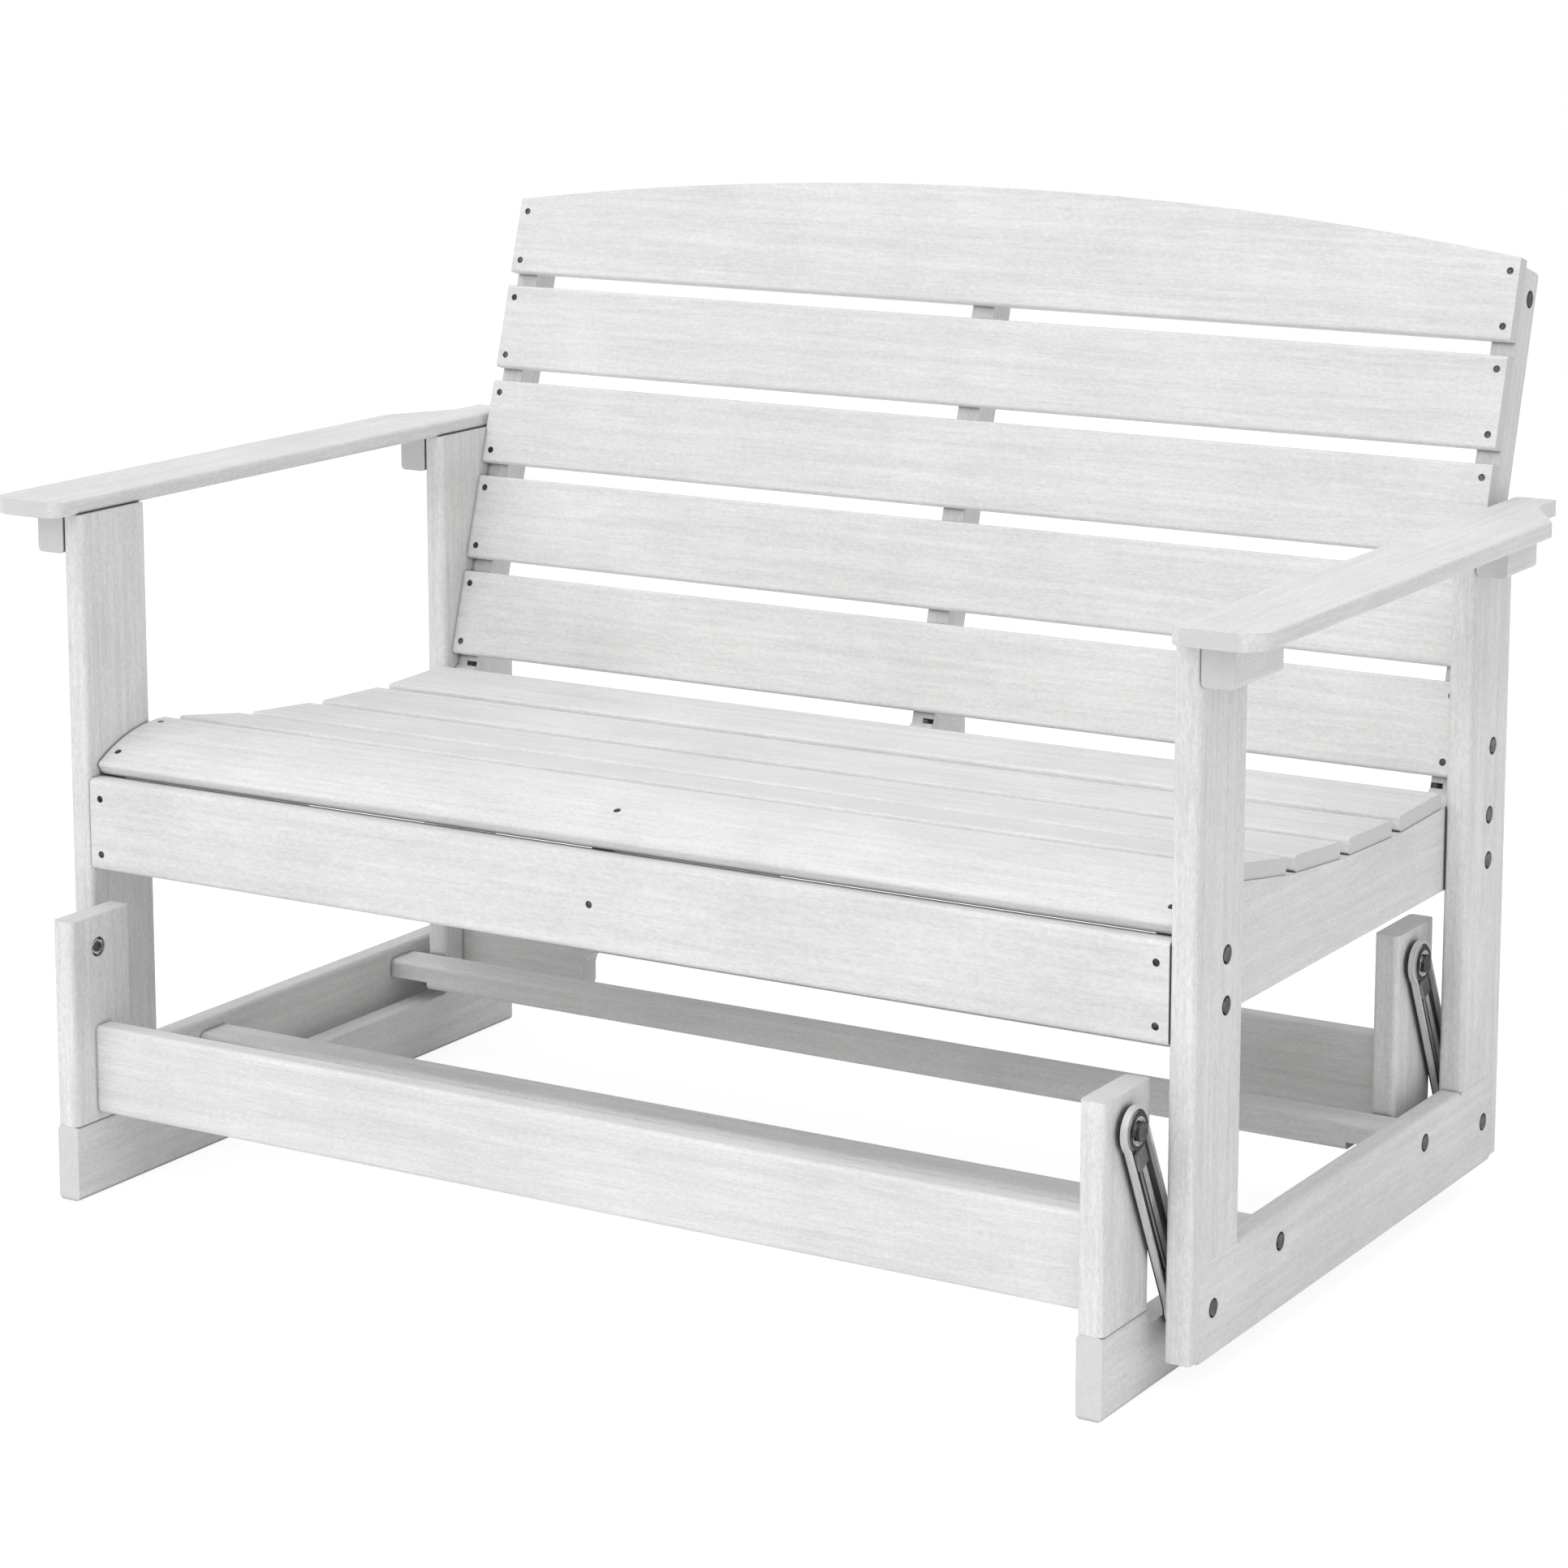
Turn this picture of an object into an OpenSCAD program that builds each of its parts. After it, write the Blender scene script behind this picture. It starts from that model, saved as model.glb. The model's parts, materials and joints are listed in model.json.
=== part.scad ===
// Glider bench: a slatted seat frame hung on four swing arms from a low fixed base.
// Millimetres, +Z up, +X to the right as seen from the front, +Y to the back.
// The bench stands at the back end of its swing.

/* [Boards] */
// Width over the outer faces of the legs
frame_w = 1250; // [1000:1:1500]
// Thickness of the legs, rails and posts
board_t = 25.4; // [22:0.2:30]
// Thickness of the seat and back slats
slat_t = 16; // [13:0.5:20]
// Rounding of the long edges of the thick boards
edge_r = 5; // [2:0.5:6]
// Rounding of the long edges of the slats and arms
slat_edge_r = 3.5; // [1.5:0.5:5]
// Diameter of the slats' screws
screw_d = 4; // [3:0.1:5]
// Diameter of the recess that a slat screw's head sits in
screw_recess_d = 7.2; // [6:0.1:9]

/* [Seat frame] */
// Front-to-back width of the legs
leg_w = 97; // [85:1:110]
// Clear distance between the front and rear legs
leg_gap = 515; // [460:1:560]
// Height of the side rails that join the legs at the bottom
side_rail_h = 91.7; // [80:0.1:105]
// How far the legs end above the bottom of the side rails
foot_step = 6; // [0:0.5:12]
// Leg material left standing beyond the end of a side rail's tongue
lap_stop = 18.5; // [12:0.5:28]
// Rounding of the tongue's lower corner
tongue_r = 6; // [3:0.5:10]
// Height of the arms' underside above the seat rails' underside
arm_rise = 357.5; // [300:0.5:400]
// Place of the front legs' upper bolts behind the front of the legs
front_bolt_y = 62.7; // [56:0.1:70]
// Height of the lower of these bolts above the seat rails' underside
bolt_rise_low = 23; // [18:0.5:28]
// Height of the upper one
bolt_rise_high = 69; // [60:0.5:76]
// Height of the back supports' bolts above the seat rails' underside
support_bolt_rise = 138; // [128:0.5:146]
// Front-to-back width of the flat stretchers
stretcher_w = 44; // [36:1:52]
// Height of the flat stretchers
stretcher_h = 28; // [22:1:34]
// Height of the stretchers above the bottom of the side rails
stretcher_rise = 51.5; // [46:0.5:56]
// Diameter of the frame bolts
bolt_d = 8; // [6:0.5:9]
// Diameter of the recess round a bolt's head
bolt_recess_d = 18; // [16.5:0.5:22]
// Depth of the recess round a bolt's head
bolt_recess = 6.4; // [5:0.1:8]

/* [Seat] */
// Width of a seat slat behind the front one
seat_slat_w = 101.5; // [92:0.5:106]
// Width of the front slat, along its curve
front_slat_w = 109.5; // [100:0.5:116]
// Gap between two seat slats
seat_gap = 20; // [10:0.5:24]
// Radius of the rounded front of the seat, over the front slat
crown_r = 174; // [160:1:220]
// Place of the crown's highest line behind the front of the legs
crown_y = 108; // [102:1:114]
// Length of the seat rails' crown behind its highest line
crown_run = 22.5; // [18:0.5:28]
// Height of the seat rails at the back of the front slat
seat_rail_h = 115.1; // [108:0.1:125]
// Downward slope to the back of the second seat slat
seat_tilt_2 = 9.1; // [6:0.1:12]
// Downward slope to the back of the third seat slat
seat_tilt_3 = 4.9; // [3:0.1:7]
// Downward slope to the back of the fourth seat slat
seat_tilt_4 = 2; // [0:0.1:4]
// Upward slope to the back of the fifth seat slat
seat_tilt_5 = 1.5; // [0:0.1:3]
// Height of the apron under the front slat
apron_h = 92.7; // [80:0.1:96]
// Height of the apron's lower side screws above the seat rails' underside
apron_screw_low = 14; // [10:0.5:20]
// Height of the apron's upper side screws
apron_screw_high = 71; // [60:0.5:76]
// Height of the apron's middle screw
apron_screw_middle = 42.5; // [30:0.5:55]
// Distance of the pins under a seat slat from its long edges
slat_pin_edge = 24; // [18:0.5:30]
// Height of the seat rails' tails, which carry the back supports
tail_h = 117; // [112:0.5:125]
// Gap between a slat's end and the piece beside it
slat_end_gap = 1.2; // [0.5:0.1:3]

/* [Back] */
// Lean of the back from upright
recline = 16.7; // [10:0.1:22]
// Place of the back's front face at its lower edge, behind the front of the legs
back_y = 622.9; // [618:0.1:628]
// Height of the back's lower edge above the seat rails' underside
back_rise = 111.9; // [108:0.1:118]
// Width of a back slat
back_slat_w = 94; // [85:1:98]
// Gap between two back slats
back_gap = 15; // [10:0.5:22]
// Width of the top slat at its ends
top_slat_w = 84; // [76:0.5:92]
// Rise of the top slat's arch at its middle
arch_rise = 42; // [20:1:60]
// Front-to-back depth of the back supports
support_d = 36; // [30:0.5:42]
// How far the back supports end below the top slat's ends
support_drop = 7; // [0:0.5:15]

/* [Arms] */
// Width of an arm
arm_w = 89; // [80:1:100]
// Thickness of an arm
arm_t = 16; // [13:0.5:20]
// How far an arm stands out in front of the leg
arm_overhang = 32; // [20:1:45]
// Length of an arm
arm_len = 787; // [765:1:810]
// Distance of an arm's inner edge from the leg's inner face
arm_inset = 6.4; // [5:0.1:12]
// Rounding of an arm's inner front corner in plan
arm_inner_r = 18; // [10:1:30]
// Rounding of an arm's outer front corner in plan
arm_outer_r = 30; // [10:1:40]
// Rounding of an arm's rear corners in plan
arm_rear_r = 12; // [6:1:30]
// Thickness of the cleats under the arms
cleat_t = 32; // [26:0.5:38]
// Height of the cleats under the arms
cleat_h = 40.5; // [32:0.5:48]
// Length of the rear cleats
rear_cleat_w = 76; // [68:1:90]

/* [Base] */
// Front-to-back width of the base posts
post_w = 88.5; // [82:0.5:92]
// Height of the runners on the floor
runner_h = 76.5; // [68:0.5:82]
// Depth of the runners' long relief between the posts
runner_relief = 15; // [12:0.5:18]
// Length of the runners behind the rear posts
runner_tail = 37.5; // [20:0.5:60]
// Height of the cross rails between the posts
base_rail_h = 89; // [76:1:100]
// Gap between the runners' top and the cross rails
base_rail_rise = 8; // [4:0.5:14]
// Rise of the long cut-out in the rear cross rail's lower edge
rail_cutout = 42; // [25:1:50]
// Length of the long cut-out in the rear cross rail's lower edge
rail_cutout_w = 790; // [600:1:900]

/* [Swing] */
// Distance between the two pivots of a swing arm
swing_len = 203; // [190:1:215]
// Lean of the swing arms at the back end of the swing
swing_back = 26.6; // [24:0.1:29]
// Lean of the swing arms at the front end of the swing
swing_front = 19; // [15:0.1:21]
// Distance between the front and rear pivots
pivot_span = 624; // [610:0.5:632]
// Place of the front lower pivot behind the front of the legs
pivot_y = 47; // [42:0.5:52]
// Height of the lower pivots above the bottom of the side rails
pivot_rise = 46; // [42:0.5:50]
// Post material in front of the front upper pivot
front_post_margin = 39; // [36:0.5:43]
// Post material in front of the rear upper pivot
rear_post_margin = 34; // [32:0.5:38]
// Post height above the upper pivot
post_over = 32.5; // [28:0.5:36]
// Clear space between the base posts and the legs
link_gap = 17.6; // [17.4:0.1:19]
// Diameter of the pivot bolts
pivot_d = 10; // [8:0.5:11]
// Running clearance of the bearings on the pivot bolts, on the radius
running_fit = 0.05; // [0.02:0.01:0.1]
// Outer diameter of the bearings
bearing_d = 26; // [24:0.5:28]
// Width of the bearings
bearing_w = 8.2; // [7:0.1:8.6]
// Radius of a swing arm's rounded ends
eye_r = 22; // [20.5:0.5:28]
// Width of a swing arm between its ends
link_w = 39.5; // [34:0.5:46]
// Thickness of a swing arm's sheet metal
link_t = 3; // [2.5:0.1:3.5]
// Height of a swing arm's turned-up rim, with the sheet
rim_h = 7.5; // [5:0.1:8]

/* [Clearances] */
// Floor clearance of the side rails at the lowest point of the swing
floor_clear = 4.5; // [3:0.5:12]
// Clearance of the seat rails over the base posts at the lowest point of the swing
seat_clear = 12.5; // [8:0.5:20]
// Clearance of the stretchers over the runners at the lowest point of the swing
runner_clear = 2.5; // [2:0.1:5]
// Gap between the stretchers and the posts at both ends of the swing
stop_gap = 2; // [1.5:0.1:4]
// Side play of the bearings
axial_play = 0.2; // [0.1:0.05:0.3]
// Clearance of a bolt or screw in its hole, on the radius
hole_fit = 0.1; // [0.05:0.01:0.3]

/* [Hidden] */

white = [0.93, 0.93, 0.92];
steel = [0.24, 0.24, 0.25];
bright = [0.62, 0.62, 0.64];

// Cutting tools reach this far past the faces that they open
over = 1;

// Planes across the bench
leg_x = frame_w / 2;
leg_in = leg_x - board_t;
lap_x = leg_x - board_t / 2;
seat_in = leg_in - board_t;
post_x = leg_in - link_gap;
post_in = post_x - board_t;

// The swing: rise and fall of the seat, and its travel
swing_drop = swing_len * (1 - cos(swing_back));
swing_travel = swing_len * (sin(swing_back) + sin(swing_front));

// Heights
side_rail_z = floor_clear + swing_drop;
side_rail_top = side_rail_z + side_rail_h;
leg_z = side_rail_z + foot_step;
low_z = side_rail_z + pivot_rise;
high_z = low_z + swing_len * cos(swing_back);
post_top = high_z + post_over;
seat_z = post_top + swing_drop + seat_clear;
arm_z = seat_z + arm_rise;
stretcher_z = side_rail_z + stretcher_rise;
stretcher_notch_z = runner_h - runner_relief + swing_drop + runner_clear;
base_rail_z = runner_h + base_rail_rise;

// Places from front to back
rear_leg_y = leg_w + leg_gap;
frame_d = rear_leg_y + leg_w;
high_y = pivot_y - swing_len * sin(swing_back);
front_post_y = high_y - front_post_margin;
front_post_end = front_post_y + post_w;
rear_post_y = high_y + pivot_span - rear_post_margin;
rear_post_end = rear_post_y + post_w;
middle_stretcher_y = front_post_end + swing_travel + stop_gap;
rear_stretcher_y = rear_post_y - stop_gap - stretcher_w;
runner_end = rear_post_end + runner_tail;

// The back: its slope, and distances along it and behind its front face
back_z = seat_z + back_rise;
back_pitch = back_slat_w + back_gap;
back_count = 5;
top_slat_s = (back_count - 1) * back_pitch;
back_end_s = top_slat_s + top_slat_w;
support_end_s = back_end_s - support_drop;
support_front = slat_t;
support_back = slat_t + support_d;
support_corner_r = 6;
foot_s = -26;
arch_r = (leg_in * leg_in + arch_rise * arch_rise) / (2 * arch_rise);

// The origin lies on the floor, half way between the front of the base and the rearmost point
rearmost = back_y + (support_end_s - support_corner_r) * sin(recline)
    + (support_back - support_corner_r) * cos(recline) + support_corner_r;
middle_y = (front_post_y + rearmost) / 2;

// The seat: the crown's arc, then straight facets that the slats lie on
crown_in = crown_r - slat_t;
seat_start = crown_y + crown_run;
crown_z = seat_z + seat_rail_h - sqrt(crown_in * crown_in - pow(seat_start - crown_y, 2));
crown_turn = front_slat_w / (crown_r - slat_t / 2) * 180 / PI;
crown_back = asin((seat_start - seat_gap / 2 - crown_y) / crown_r);
crown_front = crown_back - crown_turn;
seat_pitch = seat_slat_w + seat_gap;
tilts = [-seat_tilt_2, -seat_tilt_3, -seat_tilt_4, seat_tilt_5];
function facet(i) = i == 0
    ? [seat_start, seat_z + seat_rail_h]
    : facet(i - 1) + seat_pitch * [cos(tilts[i - 1]), sin(tilts[i - 1])];
seat_end = facet(4);

// Swing arm, from the post outwards
link_x = post_x + 4;
lip_t = 1;
lip_r = bearing_d / 2 - 2;
bearing_x = link_x + lip_t;
collar_x = bearing_x + bearing_w;
collar_r = bearing_d / 2 + 4;
spacer_r = 8;
pivot_head_h = 3.4;
pivot_head_r = 9;
nut_r = 8.1;
low_nut_t = 3.6;
low_bolt_end = 0.2;

// Fasteners; screws end this far short of the bottom of their holes
tip_gap = 2;
washer_r = 8.4;
washer_t = 1.2;
head_r = 7.5;
head_h = 5;
frame_nut_t = 6.5;
nut_recess = frame_nut_t + 1.4;
nut_recess_r = 9;
screw_head_r = 3.3;
screw_head_h = 3;
screw_sink = 1.4;
screw_len = 42;
screw_hole_r = screw_d / 2 + hole_fit;
bolt_hole_r = bolt_d / 2 + hole_fit;
pivot_hole_r = pivot_d / 2 + hole_fit;
lag_len = 75;
lag_tip_gap = 5;

// Bolts on the legs' outer faces: [y, z]
rear_bolt_y = rear_leg_y + leg_w / 2 + 4.5;
support_bolt = [rear_bolt_y + 4, seat_z + support_bolt_rise];
leg_bolts = [[front_bolt_y, seat_z + bolt_rise_low], [front_bolt_y, seat_z + bolt_rise_high],
    [rear_bolt_y, seat_z + bolt_rise_low], [rear_bolt_y, seat_z + bolt_rise_high]];

// Puts a piece from the leg-based drawing into the bench's own frame
module placed() {
    translate([0, -middle_y, 0]) children();
}

// Left pieces are the right ones mirrored
module on_side(side) {
    mirror([side < 0 ? 1 : 0, 0, 0]) children();
}

module both_sides() {
    for (side = [-1, 1]) on_side(side) children();
}

// Rectangle with round corners, centred
module rounded(w, h, r) {
    square([w - 2 * r, h], center = true);
    square([w, h - 2 * r], center = true);
    for (x = [-1, 1]) for (y = [-1, 1])
        translate([x * (w / 2 - r), y * (h / 2 - r)]) circle(r, $fn = 24);
}

// Side view drawn in Y and Z, carried along X from x0 to x1
module across(x0, x1) {
    translate([x0, 0, 0]) rotate([90, 0, 90]) linear_extrude(x1 - x0) children();
}

// Board standing up between z0 and z1
module upright(x0, x1, y0, y1, z0, z1) {
    translate([(x0 + x1) / 2, (y0 + y1) / 2, z0])
        linear_extrude(z1 - z0) rounded(x1 - x0, y1 - y0, edge_r);
}

// Board lying from front to back
module lengthwise(x0, x1, y0, y1, z0, z1) {
    translate([(x0 + x1) / 2, y0, (z0 + z1) / 2])
        rotate([-90, 0, 0]) linear_extrude(y1 - y0) rounded(x1 - x0, z1 - z0, edge_r);
}

// Board lying across the bench
module crosswise(x0, x1, y0, y1, z0, z1) {
    across(x0, x1) translate([(y0 + y1) / 2, (z0 + z1) / 2]) rounded(y1 - y0, z1 - z0, edge_r);
}

// Block between two corners
module block(low, high) {
    translate(low) cube(high - low);
}

// Round bar along X
module rod_x(x0, x1, y, z, r) {
    translate([x0, y, z]) rotate([0, 90, 0]) cylinder(h = x1 - x0, r = r, $fn = 48);
}

// Hexagon along X
module hex_x(x0, x1, y, z, r) {
    translate([x0, y, z]) rotate([0, 90, 0]) cylinder(h = x1 - x0, r = r, $fn = 6);
}

// Hole for a frame bolt, with the recess for its head in the face at x1
module bolt_hole(x0, x1, y, z) {
    rod_x(x0 - over, x1 + over, y, z, bolt_hole_r);
    rod_x(x1 - bolt_recess, x1 + over, y, z, bolt_recess_d / 2);
}

// Screw along -Z with the top of its head at the origin
module screw(length) {
    translate([0, 0, -screw_head_h]) cylinder(h = screw_head_h, r = screw_head_r, $fn = 32);
    translate([0, 0, -length]) cylinder(h = length, d = screw_d, $fn = 24);
}

// Recess and hole for a screw that enters a slat at the origin
module screw_hole(through) {
    translate([0, 0, -screw_sink - screw_head_h]) {
        cylinder(h = screw_sink + screw_head_h + over, d = screw_recess_d, $fn = 32);
        translate([0, 0, -through]) cylinder(h = through + over, r = screw_hole_r, $fn = 24);
    }
}

// Hole for a slat screw in the board that the slat lies on
module pilot_hole() {
    translate([0, 0, -screw_len - screw_sink]) cylinder(h = screw_len, r = screw_hole_r, $fn = 24);
}

// The back's own frame: distance behind its front face, distance up its slope
module on_back() {
    translate([0, back_y, back_z]) rotate([-recline, 0, 0]) children();
}

// A place on the seat's facets: slat 2 to 5, distance from its front edge, on top of the slat
module on_slat(i, along) {
    start = facet(i - 2);
    tilt = tilts[i - 2];
    translate([0, start[0], start[1]]) rotate([tilt, 0, 0])
        translate([0, seat_gap / 2 + along, slat_t]) children();
}

// A place on the crowned front slat, at this angle behind its highest line
module on_crown(turn) {
    translate([0, crown_y, crown_z]) rotate([-turn, 0, 0]) translate([0, 0, crown_r]) children();
}

// Screw places on the front slat: at each side two, in the middle one
seat_screw_x = leg_in - board_t / 2;
module at_seat_screws() {
    for (x = [-1, 1]) for (turn = [crown_front + 7, crown_back - 7.5])
        translate([x * seat_screw_x, 0, 0]) on_crown(turn) children();
    on_crown(crown_front + 14) children();
}

// Places of the blind pins under seat slat 2 to 5, on top of the slat
seat_pin_cover = 5;
seat_pin_len = 40;
module at_seat_pins(i) {
    for (x = [-1, 1]) for (along = [slat_pin_edge, seat_slat_w - slat_pin_edge])
        translate([x * seat_screw_x, 0, 0]) on_slat(i, along) children();
    on_slat(i, seat_slat_w / 2) children();
}

// Holes for the front slat's screws and the other slats' pins in the board that they lie on
module seat_holes() {
    at_seat_screws() pilot_hole();
    for (i = [2:5]) at_seat_pins(i) translate([0, 0, -seat_pin_cover - seat_pin_len - tip_gap])
        cylinder(h = seat_pin_len + tip_gap, r = screw_hole_r, $fn = 24);
}

// Screw places on a back slat: two at each end
back_screw_x = leg_in - 10;
back_screw_edge = 14;
module at_back_screws(i) {
    slat_w = i == 1 ? top_slat_w : back_slat_w;
    start_s = (back_count - i) * back_pitch;
    for (x = [-1, 1]) for (s = [start_s + back_screw_edge, start_s + slat_w - back_screw_edge])
        on_back() translate([x * back_screw_x, 0, s]) rotate([90, 0, 0]) children();
}

// Base

post_screw_edge = 24;
rail_pin_edge = 20;
// Depth of the blind pins in the posts and in the cross rails
pin_in_post = 16;
pin_in_rail = 40;
post_screw_len = 60;
// Height at which the screws' heads bear in the runners
runner_screw_z = 30;
runner_head_h = 5;
// Ends of the runners' relief, this far from the posts
relief_margin = 1;
relief_r = 2;
relief_y0 = front_post_end + relief_margin;
relief_y1 = rear_post_y - relief_margin;
relief_z = runner_h - runner_relief;

module runner(side) {
    color(white) placed() on_side(side) difference() {
        lengthwise(post_in, post_x, front_post_y, runner_end, 0, runner_h);
        across(post_in - over, post_x + over) relief();
        for (y0 = [front_post_y, rear_post_y]) at_post_screws(y0) {
            translate([0, 0, -over]) cylinder(h = runner_screw_z + over, d = screw_recess_d, $fn = 32);
            cylinder(h = runner_h + over, r = screw_hole_r, $fn = 24);
        }
    }
}

// Side view of the runners' relief, with fillets at the foot of its ends
module relief() {
    translate([relief_y0, relief_z + relief_r])
        square([relief_y1 - relief_y0, runner_relief - relief_r + over]);
    translate([relief_y0 + relief_r, relief_z])
        square([relief_y1 - relief_y0 - 2 * relief_r, 2 * relief_r]);
    for (y = [relief_y0 + relief_r, relief_y1 - relief_r])
        translate([y, relief_z + relief_r]) circle(relief_r, $fn = 32);
}

// Screw places on the floor under the post that starts at y0
module at_post_screws(y0) {
    for (y = [y0 + post_screw_edge, y0 + post_w - post_screw_edge])
        translate([(post_in + post_x) / 2, y, 0]) children();
}

module post(side, y0, pivot) {
    color(white) placed() on_side(side) difference() {
        upright(post_in, post_x, y0, y0 + post_w, runner_h, post_top);
        rod_x(post_in - over, post_x + over, pivot, high_z, pivot_hole_r);
        rod_x(post_in - over, post_in + high_recess, pivot, high_z, high_recess_r);
        for (z = rail_pin_heights)
            rod_x(post_in - over, post_in + pin_in_post + tip_gap, y0 + post_w / 2, z, bolt_hole_r);
        at_post_screws(y0) translate([0, 0, runner_h - over])
            cylinder(h = post_screw_len + over, r = screw_hole_r, $fn = 24);
    }
}

rail_pin_heights = [base_rail_z + rail_pin_edge, base_rail_z + base_rail_h - rail_pin_edge];

module base_rail(y0) {
    crosswise(-post_in, post_in, y0, y0 + board_t, base_rail_z, base_rail_z + base_rail_h);
}

module base_rail_holes(y0) {
    both_sides() for (z = rail_pin_heights)
        rod_x(post_in - pin_in_rail - tip_gap, post_in + over, y0 + board_t / 2, z, bolt_hole_r);
}

front_rail_y = front_post_y + (post_w - board_t) / 2;
rear_rail_y = rear_post_y + (post_w - board_t) / 2;

module base_rail_front() {
    color(white) placed() difference() {
        base_rail(front_rail_y);
        base_rail_holes(front_rail_y);
    }
}

// The lower edge is cut up in the middle, with round corners
module base_rail_rear() {
    r = rail_cutout / 2;
    color(white) placed() difference() {
        base_rail(rear_rail_y);
        base_rail_holes(rear_rail_y);
        translate([0, rear_rail_y + board_t + over, base_rail_z]) rotate([90, 0, 0])
            linear_extrude(board_t + 2 * over) {
                square([rail_cutout_w - 2 * r, 2 * rail_cutout], center = true);
                for (x = [-1, 1])
                    translate([x * (rail_cutout_w / 2 - r), rail_cutout - r]) circle(r, $fn = 48);
                translate([0, -r]) square([rail_cutout_w, 2 * (rail_cutout - r) + 2 * r], center = true);
            }
    }
}

// Blind pins from the posts into the cross rails, and screws up through the runners into the posts
module base_screws() {
    color(steel) placed() both_sides() {
        for (y0 = [front_post_y, rear_post_y]) {
            for (z = rail_pin_heights)
                rod_x(post_in - pin_in_rail, post_in + pin_in_post, y0 + post_w / 2, z, bolt_d / 2);
            at_post_screws(y0) translate([0, 0, runner_screw_z]) {
                translate([0, 0, -runner_head_h]) cylinder(h = runner_head_h, r = screw_head_r, $fn = 32);
                cylinder(h = runner_h - runner_screw_z + post_screw_len - tip_gap, d = screw_d, $fn = 24);
            }
        }
    }
}

// Washers and nuts in recesses of the posts' inner faces, with the bolts' ends flush
high_washer_r = 9.6;
high_washer_t = 1.2;
high_nut_r = 8.6;
high_nut_t = 5.4;
bolt_end = 1.4;
high_recess = high_washer_t + high_nut_t + bolt_end;
high_recess_r = 10;

module upper_pivot_bolts() {
    color(steel) placed() both_sides() for (y = [high_y, high_y + pivot_span]) {
        rod_x(post_in, collar_x + axial_play, y, high_z, pivot_d / 2);
        rod_x(collar_x + axial_play, collar_x + axial_play + pivot_head_h, y, high_z, pivot_head_r);
    }
}

module upper_pivot_nuts() {
    color(bright) placed() both_sides() for (y = [high_y, high_y + pivot_span]) difference() {
        union() {
            rod_x(post_in + high_recess - high_washer_t, post_in + high_recess, y, high_z, high_washer_r);
            hex_x(post_in + bolt_end, post_in + high_recess - high_washer_t, y, high_z, high_nut_r);
        }
        rod_x(post_in, post_in + high_recess + over, y, high_z, pivot_d / 2 + running_fit);
    }
}

module upper_pivot_spacers() {
    color(bright) placed() both_sides() for (y = [high_y, high_y + pivot_span]) difference() {
        rod_x(post_x, bearing_x - axial_play, y, high_z, spacer_r);
        rod_x(post_x - over, bearing_x + over, y, high_z, pivot_d / 2 + running_fit);
    }
}

// Swing arms

// Raised bead along the middle, and the flat land between it and each eye
bead_r = 6;
bead_h = 2;
land_w = 16;
land_d = 18;
land_h = 3;
land_v = eye_r + 10;
bead_end = eye_r + 24;

// Outline of a swing arm drawn with its upper pivot at the origin and its lower one below
module link_outline(inset) {
    for (v = [0, -swing_len]) translate([0, v]) circle(eye_r - inset, $fn = 96);
    translate([-link_w / 2 + inset, -swing_len]) square([link_w - 2 * inset, swing_len]);
}

// Carries a swing arm's outline from x0 to x1, leaning back from the upper pivot at y
module link_layer(x0, x1, y) {
    translate([0, y, high_z]) rotate([swing_back, 0, 0]) across(x0, x1) children();
}

module swing_arm(side, y) {
    color(steel) placed() on_side(side) difference() {
        union() {
            link_layer(link_x, link_x + link_t, y) link_outline(0);
            link_layer(link_x, link_x + rim_h, y) difference() {
                link_outline(0);
                link_outline(link_t);
            }
            link_layer(link_x, collar_x, y) for (v = [0, -swing_len]) translate([0, v])
                circle(collar_r, $fn = 72);
            link_layer(link_x, link_x + link_t + bead_h, y) {
                translate([-bead_r, -swing_len + bead_end]) square([2 * bead_r, swing_len - 2 * bead_end]);
                for (v = [-bead_end, -swing_len + bead_end]) translate([0, v]) circle(bead_r, $fn = 48);
            }
            link_layer(link_x, link_x + link_t + land_h, y) for (v = [-land_v, -swing_len + land_v])
                translate([0, v]) square([land_w, land_d], center = true);
        }
        link_layer(link_x - over, link_x + over + lip_t, y) for (v = [0, -swing_len]) translate([0, v])
            circle(lip_r, $fn = 72);
        link_layer(bearing_x, collar_x + over, y) for (v = [0, -swing_len]) translate([0, v])
            circle(bearing_d / 2 + running_fit, $fn = 72);
    }
}

// Bearing along X: outer ring, sunk shield and inner ring
module bearing(x0, y, z) {
    r = bearing_d / 2;
    bore = pivot_d / 2 + running_fit;
    inner = bore + 2.6;
    outer = r - 2.4;
    shield = 0.8;
    translate([x0, y, z]) rotate([0, 90, 0]) rotate_extrude($fn = 72) polygon([
        [bore, 0], [inner, 0], [inner, shield], [outer, shield], [outer, 0], [r, 0],
        [r, bearing_w], [outer, bearing_w], [outer, bearing_w - shield],
        [inner, bearing_w - shield], [inner, bearing_w], [bore, bearing_w]]);
}

module bearings(side, y) {
    color(bright) placed() on_side(side) {
        bearing(bearing_x, y, high_z);
        bearing(bearing_x, y + pivot_y - high_y, low_z);
    }
}

// Seat frame

// A leg, with the stopped half-lap that takes the side rail's tongue in its outer half
module leg(side, y0, lap0, lap1, pivot, bolts) {
    color(white) placed() on_side(side) difference() {
        upright(leg_in, leg_x, y0, y0 + leg_w, leg_z, arm_z);
        block([lap_x, lap0, leg_z - over], [leg_x + over, lap1, side_rail_top]);
        rod_x(leg_in - over, leg_x + over, pivot, low_z, pivot_hole_r);
        for (b = bolts) bolt_hole(leg_in, leg_x, b[0], b[1]);
    }
}

module front_leg(side) {
    leg(side, 0, lap_stop, leg_w + over, pivot_y, [leg_bolts[0], leg_bolts[1]]);
}

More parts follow.
